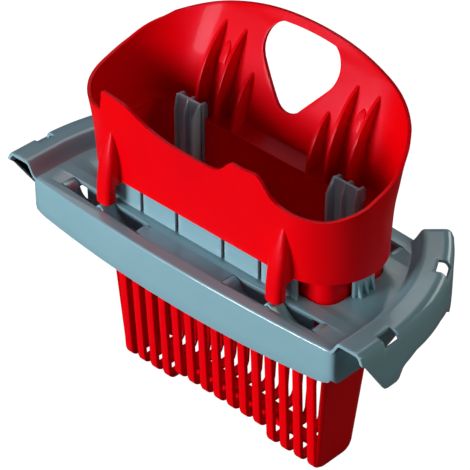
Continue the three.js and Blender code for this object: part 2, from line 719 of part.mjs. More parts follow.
function hopper() {
  const outside = hopperLoft(0, 0);
  const inside = hopperLoft(WALL, 1);
  const neck = roundedRectangle(NECK_HALF_X - WALL, NECK_HALF_Y - WALL, NECK_CORNER - WALL);
  const ledge = box(-HOOK_RADIUS, HOOK_RADIUS, -HOOK_RADIUS, HOOK_RADIUS, LEDGE_BOTTOM, LEDGE_TOP)
    .subtract(prismAlongZ(neck, 0, BACK_PEAK));
  const ribs = [
    ...LONG_RIBS_X.map((x) => backRib(x, LONG_RIB_EDGE, RIB_THICKNESS)),
    ...SHORT_RIBS_X.map((x) => backRib(x, SHORT_RIB_EDGE, RIB_THICKNESS)),
    backRib(CATCH_X, CATCH_EDGE, CATCH_WIDTH),
  ];
  const fittings = join([ledge, ...ribs, ...ribs.map(mirrorX)]).intersect(outside);
  const legs = ["front", "rear"].flatMap((side) => [leg(LEG_X[side], side), leg(-LEG_X[side], side)]);
  const walls = join([outside, ...legs]).subtract(inside);
  const rooms = [-TOWER_X, TOWER_X].map((x) => towerRoom(x, LEDGE_BOTTOM - 1, TOWER_HEIGHT + 1));
  return cutAway(walls.add(fittings).intersect(belowRim()), [backOpening(), ...rooms]);
}

// ---- Assembly -----------------------------------------------------------------------------
const frame = new THREE.Group();
const hook = rimHook();
const curtains = ["front", "rear"].map(curtain);
const deckPieces = [tray(), hook, mirrorX(hook), ...curtains, ...curtains.map(mirrorX)];
frame.add(part("frame_moulding", join(deckPieces), GREY));

for (const side of ["front", "rear"]) {
  const spring = leafSpring(side);
  frame.add(part(`${side}_right_leaf_spring`, spring, GREY));
  frame.add(part(`${side}_left_leaf_spring`, mirrorX(spring), GREY));
}

frontFingers().forEach((finger, i) => {
  frame.add(part(`front_press_finger_${i + 1}`, finger, GREY));
  frame.add(part(`rear_press_finger_${i + 1}`, finger.mirror([0, 1, 0]), GREY));
});

const endPlate = collarEnd();
frame.add(part("right_collar_end", endPlate, GREY));
frame.add(part("left_collar_end", mirrorX(endPlate), GREY));

const tower = guideTower();
frame.add(part("right_guide_tower", tower, GREY));
frame.add(part("left_guide_tower", mirrorX(tower), GREY));

frame.add(part("drain_basket", drainBasket(), RED));
frame.add(part("hopper", hopper(), RED));
frame.position.z = DECK_TOP;

const wringer = new THREE.Group();
wringer.add(frame);

export default wringer;
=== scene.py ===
"""A press wringer for a folding flat mop, seen from the photograph's viewpoint.

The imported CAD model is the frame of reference.  Shapes are worked out in millimetres, with heights
measured from the top of the grey deck, and are turned into metres when a mesh is made.
"""

import json
import math

import bmesh
import bpy
from mathutils import Matrix, Vector
from mathutils.geometry import tessellate_polygon

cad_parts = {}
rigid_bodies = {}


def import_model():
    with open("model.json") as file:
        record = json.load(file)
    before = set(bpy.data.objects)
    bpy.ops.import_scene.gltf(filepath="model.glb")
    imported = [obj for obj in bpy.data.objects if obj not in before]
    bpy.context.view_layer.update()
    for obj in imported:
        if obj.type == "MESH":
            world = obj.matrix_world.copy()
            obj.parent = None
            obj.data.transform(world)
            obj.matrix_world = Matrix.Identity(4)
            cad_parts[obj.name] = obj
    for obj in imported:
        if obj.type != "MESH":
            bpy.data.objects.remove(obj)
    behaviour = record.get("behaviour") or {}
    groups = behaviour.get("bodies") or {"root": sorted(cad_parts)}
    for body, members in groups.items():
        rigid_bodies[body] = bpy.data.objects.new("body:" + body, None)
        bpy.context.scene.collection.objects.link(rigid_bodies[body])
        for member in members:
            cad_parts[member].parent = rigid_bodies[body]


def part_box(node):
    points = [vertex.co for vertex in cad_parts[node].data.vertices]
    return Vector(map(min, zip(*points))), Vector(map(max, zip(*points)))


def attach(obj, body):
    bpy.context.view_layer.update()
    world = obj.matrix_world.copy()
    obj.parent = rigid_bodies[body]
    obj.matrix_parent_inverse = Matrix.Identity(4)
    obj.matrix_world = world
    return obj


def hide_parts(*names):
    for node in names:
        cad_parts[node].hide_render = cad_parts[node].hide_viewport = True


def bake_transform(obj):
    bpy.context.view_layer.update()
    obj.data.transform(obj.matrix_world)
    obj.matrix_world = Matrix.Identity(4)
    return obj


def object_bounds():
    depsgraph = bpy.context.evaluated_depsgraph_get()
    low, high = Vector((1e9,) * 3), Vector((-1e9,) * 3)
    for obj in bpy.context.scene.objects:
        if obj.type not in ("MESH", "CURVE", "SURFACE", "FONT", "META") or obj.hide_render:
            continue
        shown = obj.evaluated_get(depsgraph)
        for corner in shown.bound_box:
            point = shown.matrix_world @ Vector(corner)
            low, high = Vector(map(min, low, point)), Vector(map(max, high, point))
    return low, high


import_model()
CAD_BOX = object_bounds()

MM = 0.001
GAP = 0.3


def box_mm(node):
    low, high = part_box(node)
    return [v / MM for v in low], [v / MM for v in high]


# ---- Sizes read from the CAD model -----------------------------------------------------------
MIDDLE_FINGER = box_mm("front_press_finger_3")
SIDE_FINGER = box_mm("front_press_finger_4")
DECK = MIDDLE_FINGER[0][2] - GAP
FRAME_BOX = box_mm("frame_moulding")
BASKET_BOX = box_mm("drain_basket")
HOPPER_BOX = box_mm("hopper")
TOWER_BOX = box_mm("right_guide_tower")
FRONT_SPRING = box_mm("front_right_leaf_spring")
REAR_SPRING = box_mm("rear_right_leaf_spring")

HOOK_RADIUS = FRAME_BOX[1][0]
FRONT_MIDDLE_Y = FRAME_BOX[0][1]
NECK_HALF_X = BASKET_BOX[1][0]
NECK_HALF_Y = BASKET_BOX[1][1]
NECK_TOP = BASKET_BOX[1][2] - DECK
FOOT = BASKET_BOX[0][2] - DECK
COLLAR_FACE_Y = -MIDDLE_FINGER[0][1]
COLLAR_WALL = MIDDLE_FINGER[1][1] - MIDDLE_FINGER[0][1]
COLLAR_TOP = MIDDLE_FINGER[1][2] - DECK
BACK_PEAK = HOPPER_BOX[1][2] - DECK
TOWER_TOP = TOWER_BOX[1][2] - DECK

# ---- Sizes shared with the CAD model ---------------------------------------------------------
WALL = 2.2
RIM_CENTRE_Y = -28.0
WELL_RADIUS = HOOK_RADIUS - 21.5
HOOK_END = math.radians(44.4)
FRONT_CORNER_X = 119.5
FRONT_CORNER_Y = -53.0
REAR_MIDDLE_Y = 60.0
SKIRT_MIDDLE_DROP = 28.5
SKIRT_END_DROP = 24.0
HEM_ROUND = 6.0
EDGE_ROUND = 1.5
NECK_CORNER = 10.0
FOOT_HALF_X = 81.5
FOOT_FRONT_Y = 19.6
FOOT_BACK_Y = 16.8
FOOT_CORNER = 3.0
SLAT_COUNT = 15
SLAT_PITCH = 11.25
SLAT_WIDTH = 6.2
SLAT_DEPTH = 2.7
END_SLAT_X = 75.0
SLAT_LEAN = 0.98
END_BACK_ROUND = 9.0
MIDDLE_HALF_X = 39.7
MIDDLE_RISE = 7.0
SLOT_TOP = -30.0
SLEEVE_BOTTOM = 16.5
LEDGE_BOTTOM = NECK_TOP + GAP
LEDGE_TOP = LEDGE_BOTTOM + WALL
SLIT_WIDTH = 2.4
GUSSET_PITCH = 5.4
GUSSET_REACH = 3.0
GUSSET_HEIGHT = 9.3
SLOT_INSET = {-1: 7.7, 1: 10.2}
SLOT_WIDTH = 10.6
TOWER_PLATE_Y = 21.0
TOWER_PLATE = 1.8
TOWER_FIN_BACK_Y = 28.0
LEG_X = {-1: 68.2, 1: 59.5}
LEG_HALF_WIDTH = 5.8
LEG_PEAK = 48.7
LEG_SPRING = 27.0
LEG_OUTER_Y = 47.2
LEG_FOOT = 2.4
CURTAIN_END_X = 91.0
CURTAIN_DROP = 20.0
CURTAIN_WALL = 1.6
CURTAIN_GAP = 0.4
# A standing piece starts this far below the deck's top.
SINK = 0.6
BEVEL = 0.4
WELD = 0.004
SHARP_ANGLE = 38


# ---- Small mathematics -----------------------------------------------------------------------
def lerp(a, b, t):
    return a + (b - a) * t


def clamp01(t):
    return min(1.0, max(0.0, t))


def smoothstep(low, high, value):
    t = clamp01((value - low) / (high - low))
    return t * t * (3 - 2 * t)


def smooth_max(a, b, width):
    h = clamp01(0.5 + 0.5 * (a - b) / width)
    return lerp(b, a, h) + width * h * (1 - h)


def curve_read(table, key):
    """Reads a table of (key, value) rows along a smooth curve that never overshoots its rows."""
    if key <= table[0][0]:
        return table[0][1]
    if key >= table[-1][0]:
        return table[-1][1]
    i = next(n for n in range(len(table) - 1) if table[n + 1][0] >= key)

    def slope(n):
        if n == 0 or n == len(table) - 1:
            return 0.0
        before = (table[n][1] - table[n - 1][1]) / (table[n][0] - table[n - 1][0])
        after = (table[n + 1][1] - table[n][1]) / (table[n + 1][0] - table[n][0])
        return 0.0 if before * after <= 0 else 2 * before * after / (before + after)

    (k0, v0), (k1, v1) = table[i], table[i + 1]
    width = k1 - k0
    t = (key - k0) / width
    rise = v1 - v0
    a = slope(i) * width
    b = slope(i + 1) * width
    return v0 + a * t + (3 * rise - 2 * a - b) * t**2 + (a + b - 2 * rise) * t**3


def spread(a, b, count):
    return [lerp(a, b, i / (count - 1)) for i in range(count)]


# ---- Mesh building ---------------------------------------------------------------------------
class Build:
    """Gathers closed surfaces in millimetres above the deck, then makes one object in metres."""

    def __init__(self):
        self.points = []
        self.faces = []

    def point(self, x, y, z):
        self.points.append((x, y, z))
        return len(self.points) - 1

    def grid(self, rows):
        return [[self.point(*p) for p in row] for row in rows]

    def face(self, *corners):
        distinct = list(dict.fromkeys(corners))
        if len(distinct) > 2:
            self.faces.append(tuple(distinct))

    def slab(self, top, under, wrap=False, skip=(), bare=()):
        """A sheet with thickness between two equal grids of points.

        Cells named in skip are holes with walls round them.  Cells named in bare are left out
        with no walls, for a patch that is welded in.  wrap joins the last row to the first.
        """
        a = self.grid(top)
        b = self.grid(under)
        rows = len(a)
        columns = len(a[0])
        cell_rows = rows if wrap else rows - 1
        skip = set(skip)
        bare = set(bare)

        def solid(i, k):
            if wrap:
                i %= rows
            inside = 0 <= i < cell_rows and 0 <= k < columns - 1
            return inside and (i, k) not in skip and (i, k) not in bare

        def wants_wall(i, k):
            if wrap:
                i %= rows
            return not solid(i, k) and (i, k) not in bare

        for i in range(cell_rows):
            j = (i + 1) % rows
            for k in range(columns - 1):
                if not solid(i, k):
                    continue
                self.face(a[i][k], a[j][k], a[j][k + 1], a[i][k + 1])
                self.face(b[i][k + 1], b[j][k + 1], b[j][k], b[i][k])
                if wants_wall(i, k - 1):
                    self.face(a[j][k], a[i][k], b[i][k], b[j][k])
                if wants_wall(i, k + 1):
                    self.face(a[i][k + 1], a[j][k + 1], b[j][k + 1], b[i][k + 1])
                if wants_wall(i - 1, k):
                    self.face(a[i][k], a[i][k + 1], b[i][k + 1], b[i][k])
                if wants_wall(i + 1, k):
                    self.face(a[j][k + 1], a[j][k], b[j][k], b[j][k + 1])

    def loft(self, rings):
        """A closed solid through rings of equal length, capped at both ends."""
        index = self.grid(rings)
        count = len(rings[0])
        for low, high in zip(index, index[1:]):
            for i in range(count):
                j = (i + 1) % count
                self.face(low[i], low[j], high[j], high[i])
        self.faces.append(tuple(reversed(index[0])))
        self.faces.append(tuple(index[-1]))

    def box(self, x0, x1, y0, y1, z0, z1):
        self.loft([[(x0, y0, z), (x1, y0, z), (x1, y1, z), (x0, y1, z)] for z in (z0, z1)])

    def finish(self, name, body, material, nodes, bevel=BEVEL, segments=2, angle=40, ride=True):
        mesh = bpy.data.meshes.new(name)
        points = [(x * MM, y * MM, (z + DECK) * MM) for x, y, z in self.points]
        mesh.from_pydata(points, [], self.faces)
        shape = bmesh.new()
        shape.from_mesh(mesh)
        bmesh.ops.remove_doubles(shape, verts=shape.verts, dist=WELD * MM)
        bmesh.ops.recalc_face_normals(shape, faces=shape.faces)
        shape.to_mesh(mesh)
        shape.free()
        piece = bpy.data.objects.new(name, mesh)
        bpy.context.scene.collection.objects.link(piece)
        if bevel:
            rounding = piece.modifiers.new("edges", "BEVEL")
            rounding.width = bevel * MM
            rounding.segments = segments
            rounding.limit_method = "ANGLE"
            rounding.angle_limit = math.radians(angle)
            rounding.use_clamp_overlap = True
            rounding.miter_outer = "MITER_ARC"
            graph = bpy.context.evaluated_depsgraph_get()
            rounded = bpy.data.meshes.new_from_object(piece.evaluated_get(graph))
            piece.modifiers.clear()
            piece.data = rounded
            rounded.name = name
        piece.data.shade_smooth()
        piece.data.set_sharp_from_angle(angle=math.radians(SHARP_ANGLE))
        piece.data.materials.clear()
        piece.data.materials.append(material)
        if ride:
            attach(piece, body)
        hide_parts(*nodes)
        return piece


# ---- Materials -------------------------------------------------------------------------------
# Noise scales are in features per metre, and bump heights are in metres.
DRIFT_SCALE = 14
SCUFF_SCALE = 60
WAVE_SCALE = 26
GRAIN_SCALE = 1500
WAVE_HEIGHT = 0.0012
GRAIN_HEIGHT = 0.00008
NOISE_RANGE = (0.3, 0.7)
# Pointiness range and strength of the paled sharp edges, which are partly edge wear and partly a
# painted highlight.
EDGE_WEAR_AND_HIGHLIGHT_POINTINESS = (0.53, 0.62)
EDGE_WEAR_AND_HIGHLIGHT_AMOUNT = 0.1
PLASTIC_IOR = 1.49


def plastic(name, colour, deep, edge, tint, roughness, grain, shine):
    """Moulded polypropylene: faint colour drift, a fine grain, soft sink waves; sharp edges paled as
    wear and painted highlight.
    """
    material = bpy.data.materials.new(name)
    material.use_nodes = True
    tree = material.node_tree
    tree.nodes.clear()
    new = tree.nodes.new
    link = tree.links.new
    out = new("ShaderNodeOutputMaterial")
    shader = new("ShaderNodeBsdfPrincipled")
    link(shader.outputs["BSDF"], out.inputs["Surface"])
    place = new("ShaderNodeTexCoord")

    def noise(scale, detail, rough=0.5):
        node = new("ShaderNodeTexNoise")
        node.inputs["Scale"].default_value = scale
        node.inputs["Detail"].default_value = detail
        node.inputs["Roughness"].default_value = rough
        link(place.outputs["Object"], node.inputs["Vector"])
        return node

    def mapped(source, old_range, new_range):
        node = new("ShaderNodeMapRange")
        for key, value in zip(("From Min", "From Max", "To Min", "To Max"), old_range + new_range):
            node.inputs[key].default_value = value
        link(source, node.inputs["Value"])
        return node.outputs["Result"]

    def bump(source, strength, height):
        node = new("ShaderNodeBump")
        node.inputs["Strength"].default_value = strength
        node.inputs["Distance"].default_value = height
        link(source.outputs["Fac"], node.inputs["Height"])
        return node

    drift = noise(DRIFT_SCALE, 3)
    ramp = new("ShaderNodeValToRGB")
    ramp.color_ramp.elements[0].position = 0.3
    ramp.color_ramp.elements[0].color = (*deep, 1)
    ramp.color_ramp.elements[1].position = 0.62
    ramp.color_ramp.elements[1].color = (*colour, 1)
    link(drift.outputs["Fac"], ramp.inputs["Fac"])
    # Sharp edges are screened towards the edge colour: partly edge wear, partly a painted highlight.
    geometry = new("ShaderNodeNewGeometry")
    edge_wear_and_highlight = mapped(geometry.outputs["Pointiness"], EDGE_WEAR_AND_HIGHLIGHT_POINTINESS, (0.0, 1.0))
    pale = new("ShaderNodeMix")
    pale.data_type = "RGBA"
    pale.blend_type = "SCREEN"
    soften = new("ShaderNodeMath")
    soften.operation = "MULTIPLY"
    soften.inputs[1].default_value = EDGE_WEAR_AND_HIGHLIGHT_AMOUNT
    link(edge_wear_and_highlight, soften.inputs[0])
    link(soften.outputs["Value"], pale.inputs["Factor"])
    link(ramp.outputs["Color"], pale.inputs["A"])
    pale.inputs["B"].default_value = (*edge, 1)
    link(pale.outputs["Result"], shader.inputs["Base Color"])

    scuffs = noise(SCUFF_SCALE, 6, 0.65)
    rubbed = mapped(scuffs.outputs["Fac"], NOISE_RANGE, (roughness - 0.05, roughness + 0.08))
    link(rubbed, shader.inputs["Roughness"])
    sink = bump(noise(WAVE_SCALE, 1), 0.1, WAVE_HEIGHT)
    skin = bump(noise(GRAIN_SCALE, 2), grain, GRAIN_HEIGHT)
    link(sink.outputs["Normal"], skin.inputs["Normal"])
    link(skin.outputs["Normal"], shader.inputs["Normal"])
    shader.inputs["IOR"].default_value = PLASTIC_IOR
    shader.inputs["Specular IOR Level"].default_value = shine
    shader.inputs["Specular Tint"].default_value = (*tint, 1)
    shader.inputs["Coat Weight"].default_value = 0.5 * shine
    shader.inputs["Coat Roughness"].default_value = 0.1
    return material


# In both plastics, edge is the pale colour of sharp edges: partly wear, partly a painted highlight.
RED = plastic(
    "red_moulded_plastic", colour=(0.7, 0.0, 0.002), deep=(0.64, 0.0, 0.004), edge=(1.0, 0.02, 0.03),
    tint=(1.0, 0.4, 0.8), roughness=0.33, grain=0.3, shine=0.08,
)
GREY = plastic(
    "grey_moulded_plastic", colour=(0.205, 0.371, 0.437), deep=(0.19, 0.35, 0.415),
    edge=(0.75, 0.85, 0.88), tint=(1.0, 1.0, 1.0), roughness=0.19, grain=0.25, shine=0.6,
)


# ---- Grey frame: deck, skirts and rim hooks --------------------------------------------------
def front_edge(x):
    return lerp(FRONT_MIDDLE_Y, FRONT_CORNER_Y, (x / FRONT_CORNER_X) ** 2)


def rear_edge(x):
    return REAR_MIDDLE_Y - (front_edge(x) - FRONT_MIDDLE_Y)


def rounded_corners(corners, radius, steps=6):
    """A closed outline with every corner rounded.

    A corner is (x, y), or (x, y, radius) where it has a radius of its own.
    """
    outline = []
    count = len(corners)
    for i, corner in enumerate(corners):
        here = Vector(corner[:2])
        r = corner[2] if len(corner) > 2 else radius
        if r <= 0:
            outline.append(tuple(here))
            continue
        before = (Vector(corners[i - 1][:2]) - here).normalized()
        after = (Vector(corners[(i + 1) % count][:2]) - here).normalized()
        half = math.acos(max(-1, min(1, before.dot(after)))) / 2
        reach = r / math.tan(half)
        centre = here + (before + after).normalized() * (r / math.sin(half))
        start = here + before * reach - centre
        end = here + after * reach - centre
        sweep = start.angle_signed(end) * -1
        for s in range(steps + 1):
            turn = Matrix.Rotation(sweep * s / steps, 2)
            outline.append(tuple(centre + turn @ start))
    return outline


def resample(outline, spacing):
    dense = []
    for (x0, y0), (x1, y1) in zip(outline, outline[1:] + outline[:1]):
        length = math.hypot(x1 - x0, y1 - y0)
        pieces = max(1, round(length / spacing))
        dense += [(lerp(x0, x1, s / pieces), lerp(y0, y1, s / pieces)) for s in range(pieces)]
    return dense


def offset(outline, distance):
    """Moves an anticlockwise outline outwards by a distance."""
    moved = []
    count = len(outline)
    for i, (x, y) in enumerate(outline):
        x0, y0 = outline[i - 1]
        x1, y1 = outline[(i + 1) % count]
        before = Vector((y - y0, x0 - x)).normalized()
        after = Vector((y1 - y, x - x1)).normalized()
        mean = before + after
        scale = distance * 2 / max(mean.length_squared, 0.8)
        moved.append((x + mean.x * scale, y + mean.y * scale))
    return moved


def well_point(angle):
    return (WELL_RADIUS * math.cos(angle), RIM_CENTRE_Y + WELL_RADIUS * math.sin(angle))


def deck_outline():
    """Bowed front and rear edges, joined by the round ends that the rim hooks rise from."""
    steps = (a / 500 for a in range(600))
    end = next(a for a in steps if well_point(a)[1] > rear_edge(well_point(a)[0]))
    right = [well_point(a) for a in spread(0, end, 24)]
    corner_x = right[-1][0]
    front = [(x, front_edge(x)) for x in spread(1 - FRONT_CORNER_X, FRONT_CORNER_X - 1, 60)]
    rear = [(x, rear_edge(x)) for x in spread(corner_x - 2, 2 - corner_x, 48)]
    bend = [(119.9, -52.4), (120.9, -51.6), (WELL_RADIUS, -50.2)]
    straight = [(WELL_RADIUS, y) for y in spread(-48, -30, 8)]
    right = bend + straight + right[:-1]
    left = [(-x, y) for x, y in reversed(right)]
    return front + right + rear + left


def slot_outline(side, sign):
    """A spring slot follows the bow of the deck's edge; side is -1 at the front and 1 at the rear."""
    spring = FRONT_SPRING if side < 0 else REAR_SPRING
    edge = front_edge if side < 0 else rear_edge
    x0 = spring[0][0] - GAP
    x1 = spring[1][0] + GAP
    near = [(x, edge(x) - side * SLOT_INSET[side]) for x in (x0, x1)]
    far = [(x, edge(x) - side * (SLOT_INSET[side] + SLOT_WIDTH)) for x in (x1, x0)]
    corners = [(sign * x, y) for x, y in near + far]
    return anticlockwise(rounded_corners(corners, 1.2, 4))


def anticlockwise(outline):
    area = sum(x0 * y1 - x1 * y0 for (x0, y0), (x1, y1) in zip(outline, outline[1:] + outline[:1]))
    return outline if area > 0 else outline[::-1]


def rounded_rectangle(half_x, half_y, radius, steps=10):
    corners = [(half_x, half_y), (-half_x, half_y), (-half_x, -half_y), (half_x, -half_y)]
    return anticlockwise(rounded_corners(corners, radius, steps))


def skirt_drop(x, y):
    """How far the skirt hangs: lowest at the middle of the long sides, rounded at its front ends."""
    if abs(x) < FRONT_CORNER_X - HEM_ROUND:
        return lerp(SKIRT_MIDDLE_DROP, SKIRT_END_DROP, (x / FRONT_CORNER_X) ** 2)
    from_corner = min(math.hypot(abs(x) - FRONT_CORNER_X - 0.8, y - FRONT_CORNER_Y - 0.8), HEM_ROUND)
    lift = HEM_ROUND - math.sqrt(HEM_ROUND**2 - (HEM_ROUND - from_corner) ** 2)
    return SKIRT_END_DROP - (lift if y < 0 else 0)


def frame_moulding():
    build = Build()
    outline = resample(deck_outline(), 3.0)
    turns = spread(0, math.pi / 2, 6)
    round_edge = [(EDGE_ROUND * (1 - math.sin(a)), -EDGE_ROUND * (1 - math.cos(a))) for a in turns]
    rings = [[(x, y, z) for x, y in offset(outline, -d)] for d, z in round_edge]
    drops = [skirt_drop(x, y) for x, y in outline]
    for part in (0.35, 0.7, 1.0):
        rings.append([(x, y, lerp(-EDGE_ROUND, -drop, part)) for (x, y), drop in zip(outline, drops)])
    inner = offset(outline, -WALL)
    rings.append([(x, y, -drop) for (x, y), drop in zip(inner, drops)])
    rings.append([(x, y, -WALL) for x, y in inner])
    index = build.grid(rings)
    count = len(outline)
    for high, low in zip(index, index[1:]):
        for i in range(count):
            j = (i + 1) % count
            build.face(high[i], high[j], low[j], low[i])

    holes = [resample(rounded_rectangle(NECK_HALF_X + 1, NECK_HALF_Y + 1, NECK_CORNER + 1), 8)]
    holes += [slot_outline(side, sign) for side in (-1, 1) for sign in (-1, 1)]
    top_loops = [rings[0]] + [[(x, y, 0) for x, y in hole] for hole in holes]
    under_loops = [rings[-1]] + [[(x, y, -WALL) for x, y in hole] for hole in holes]
    hole_index = []
    for loops, boundary in ((top_loops, index[0]), (under_loops, index[-1])):
        numbers = list(boundary)
        walls = []
        for loop in loops[1:]:
            own = [build.point(*p) for p in loop]
            walls.append(own)
            numbers += own
        for triangle in tessellate_polygon([[Vector(p) for p in loop] for loop in loops]):
            build.face(*[numbers[n] for n in triangle])
        hole_index.append(walls)
    for high, low in zip(*hole_index):
        for i in range(len(high)):
            j = (i + 1) % len(high)
            build.face(high[i], high[j], low[j], low[i])
    for side in (-1, 1):
        for sign in (-1, 1):
            add_curtain(build, side, sign)
    add_rim_hooks(build)
    return build.finish("frame_moulding_body", "frame", GREY, ["frame_moulding"],
                        angle=50)


def add_curtain(build, side, sign):
    """A wall hangs under the deck along the inner side of a spring slot."""
    spring = FRONT_SPRING if side < 0 else REAR_SPRING
    edge = front_edge if side < 0 else rear_edge
    near = SLOT_INSET[side] + SLOT_WIDTH + CURTAIN_GAP
    ends = (spring[0][0], min(spring[1][0], CURTAIN_END_X))
    outline = [(sign * x, edge(x) - side * near) for x in ends]
    outline += [(sign * x, edge(x) - side * (near + CURTAIN_WALL)) for x in reversed(ends)]
    build.loft([[(x, y, z) for x, y in outline] for z in (-CURTAIN_DROP, -1)])


# The hook's section over the bucket's rim: distance from the rim's centre, and height.
HOOK_TOP_END = 1.2
HOOK_UNDER_END = 1.0
HOOK_WALL = 1.9
HOOK_TOP = [
    (117.4, -0.4), (118.5, 0.1), (119.8, 0.9), (121.1, 2.6), (122.7, 5.4), (124.0, 7.6),
    (125.4, 8.5), (128, 8.5), (131.5, 8.5), (135, 8.5), (138.4, 8.5), (140.2, 7.8),
    (141.5, 6.2), (142.4, 4.0),
]
HOOK_UNDER = [
    (117.4, -1.9), (118.6, -1.9), (120.3, -1.2), (122.0, 0.9), (123.6, 3.8), (124.9, 5.9),
    (126.2, 6.6), (128, 6.6), (131.5, 6.6), (135, 6.6), (137.6, 6.6), (138.9, 6.0),
    (139.9, 4.8), (140.7, 3.0),
]
HOOK_HOLE_COLUMNS = (9, 10, 11, 12)
HOOK_STEP = 2.5
HOOK_STRAIGHT = RIM_CENTRE_Y - FRONT_CORNER_Y
HOOK_LENGTH = HOOK_STRAIGHT + HOOK_RADIUS * HOOK_END
# Height of the skirt's lower edge, by distance along the hook from its front end.
HOOK_HEM = [
    (0, 2.4), (4, -1.5), (17.6, -21.6), (19.4, -24.2), (22, -25), (29.5, -25), (31.6, -24),
    (35, -18.4), (37, -17.2), (48, -14.2), (80, -15.8), (95, -19.5), (100, -24.5), (103.5, -26.8),
    (109, -26.6), (112.5, -25.4), (115.5, -22.6), (HOOK_LENGTH - 3, -1.5), (HOOK_LENGTH, 2.4),
]
HOOK_HOLES = [(19.0, 31.0), (92.5, 104.5)]


def hook_place(along, radius, z):
    if along <= HOOK_STRAIGHT:
        return (radius, FRONT_CORNER_Y + along, z)
    angle = (along - HOOK_STRAIGHT) / HOOK_RADIUS
    return (radius * math.cos(angle), RIM_CENTRE_Y + radius * math.sin(angle), z)


def hook_hem(along):
    for (k0, v0), (k1, v1) in zip(HOOK_HEM, HOOK_HEM[1:]):
        if along <= k1:
            return lerp(v0, v1, (along - k0) / (k1 - k0))
    return HOOK_HEM[-1][1]


def skirt_heights(start, hem):
    """Heights down a hook's skirt.  Where the hem is above the start, they stay beside the hem."""
    return [lerp(start, hem, s) if hem < start else hem - 0.05 * s for s in (0.3, 0.65, 1.0)]


def add_rim_hooks(build):
    marks = [along for along, _ in HOOK_HEM] + [end for hole in HOOK_HOLES for end in hole]
    stops = sorted({0.0, HOOK_STRAIGHT, HOOK_LENGTH, *marks})
    stations = []
    for a, b in zip(stops, stops[1:]):
        pieces = max(1, round((b - a) / HOOK_STEP))
        stations += [lerp(a, b, i / pieces) for i in range(pieces)]
    stations.append(HOOK_LENGTH)
    top = []
    under = []
    inside = HOOK_RADIUS - HOOK_WALL
    for along in stations:
        hem = hook_hem(along)
        outer = HOOK_TOP + [(HOOK_RADIUS, max(hem, HOOK_TOP_END))]
        inner = HOOK_UNDER + [(inside, hem)]
        outer += [(HOOK_RADIUS, z) for z in skirt_heights(HOOK_TOP_END, hem)]
        inner += [(inside, z) for z in skirt_heights(HOOK_UNDER_END, hem)]
        top.append([hook_place(along, r, z) for r, z in outer])
        under.append([hook_place(along, r, z) for r, z in inner])
    holes = set()
    for start, end in HOOK_HOLES:
        for i in range(len(stations) - 1):
            if start - 0.01 <= stations[i] and stations[i + 1] <= end + 0.01:
                holes |= {(i, k) for k in HOOK_HOLE_COLUMNS}
    build.slab(top, under, skip=holes)

    def mirrored(rows):
        return [[(-x, y, z) for x, y, z in row] for row in rows]

    build.slab(mirrored(top), mirrored(under), skip=holes)


# ---- Leaf springs ----------------------------------------------------------------------------
# Height of an arm's middle, by the share of the way from its root to its tip.
SPRING_PROFILE = [
    (0, -1.0), (0.08, -0.9), (0.15, -1.8), (0.26, -7.6), (0.36, -9.4),
    (0.56, -9.6), (0.7, -7.6), (0.84, -3.6), (0.94, 0.2), (1, 1.3),
]
SPRING_THICKNESS = 1.6
SPRING_ROOT = 0.8
SPRING_CLEARANCE = 0.7


def leaf_springs():
    """Each leaf spring is two arms, which dip from the ends of a slot and meet under a hopper leg."""
    for side, depth in ((-1, "front"), (1, "rear")):
        spring = FRONT_SPRING if side < 0 else REAR_SPRING
        edge = front_edge if side < 0 else rear_edge
        middle = (spring[0][0] + spring[1][0]) / 2
        for sign, hand in ((1, "right"), (-1, "left")):
            roots = (spring[0][0] - SPRING_ROOT, "inner"), (spring[1][0] + SPRING_ROOT, "outer")
            for root, end in roots:
                build = Build()
                rings = []
                half = SPRING_THICKNESS / 2
                for t in spread(0, 1, 33):
                    x = lerp(root, middle, t)
                    z = curve_read(SPRING_PROFILE, t)
                    y0 = edge(x) - side * (SLOT_INSET[side] + SPRING_CLEARANCE)
                    y1 = edge(x) - side * (SLOT_INSET[side] + SLOT_WIDTH - SPRING_CLEARANCE)
                    rings.append([(sign * x, y0, z - half), (sign * x, y1, z - half),
                                  (sign * x, y1, z + half), (sign * x, y0, z + half)])
                build.loft(rings)
                name = f"{depth}_{hand}_leaf_{end}_arm"
                node = f"{depth}_{hand}_leaf_spring"
                piece = build.finish(name, "frame", GREY, [node], bevel=0.3, ride=False)
                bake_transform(piece)


# ---- Collar fingers --------------------------------------------------------------------------
FINGER_END_X = 68.0
GUSSET_HALF = 0.8


def finger_grid(path):
    """A curved plate: path gives (x, y, outward x, outward y) along its outer face."""
    heights = [-SINK, 4, 9, 14, COLLAR_TOP]
    outer = [[(x, y, z) for z in heights] for x, y, nx, ny in path]
    wall = COLLAR_WALL
    inner = [[(x - nx * wall, y - ny * wall, z) for z in heights] for x, y, nx, ny in path]
    return outer, inner


def finger_paths():
    """Outer faces of the five fingers of one side; the two end ones start to turn the corner."""
    middle = [(x, -COLLAR_FACE_Y, 0, -1) for x in spread(MIDDLE_FINGER[0][0], MIDDLE_FINGER[1][0], 9)]
    side = [(x, -COLLAR_FACE_Y, 0, -1) for x in spread(SIDE_FINGER[0][0], SIDE_FINGER[1][0], 7)]
    start = SIDE_FINGER[1][0] + SLIT_WIDTH
    end = [(x, -COLLAR_FACE_Y, 0, -1) for x in spread(start, FINGER_END_X, 6)[:-1]]
    for a in spread(-90, -77, 6):
        nx, ny = math.cos(math.radians(a)), math.sin(math.radians(a))
        end.append((FINGER_END_X + COLLAR_FACE_Y * nx, COLLAR_FACE_Y * ny, nx, ny))

    def mirrored(path):
        return [(-x, y, -nx, ny) for x, y, nx, ny in reversed(path)]

    return [mirrored(end), mirrored(side), middle, side, end]


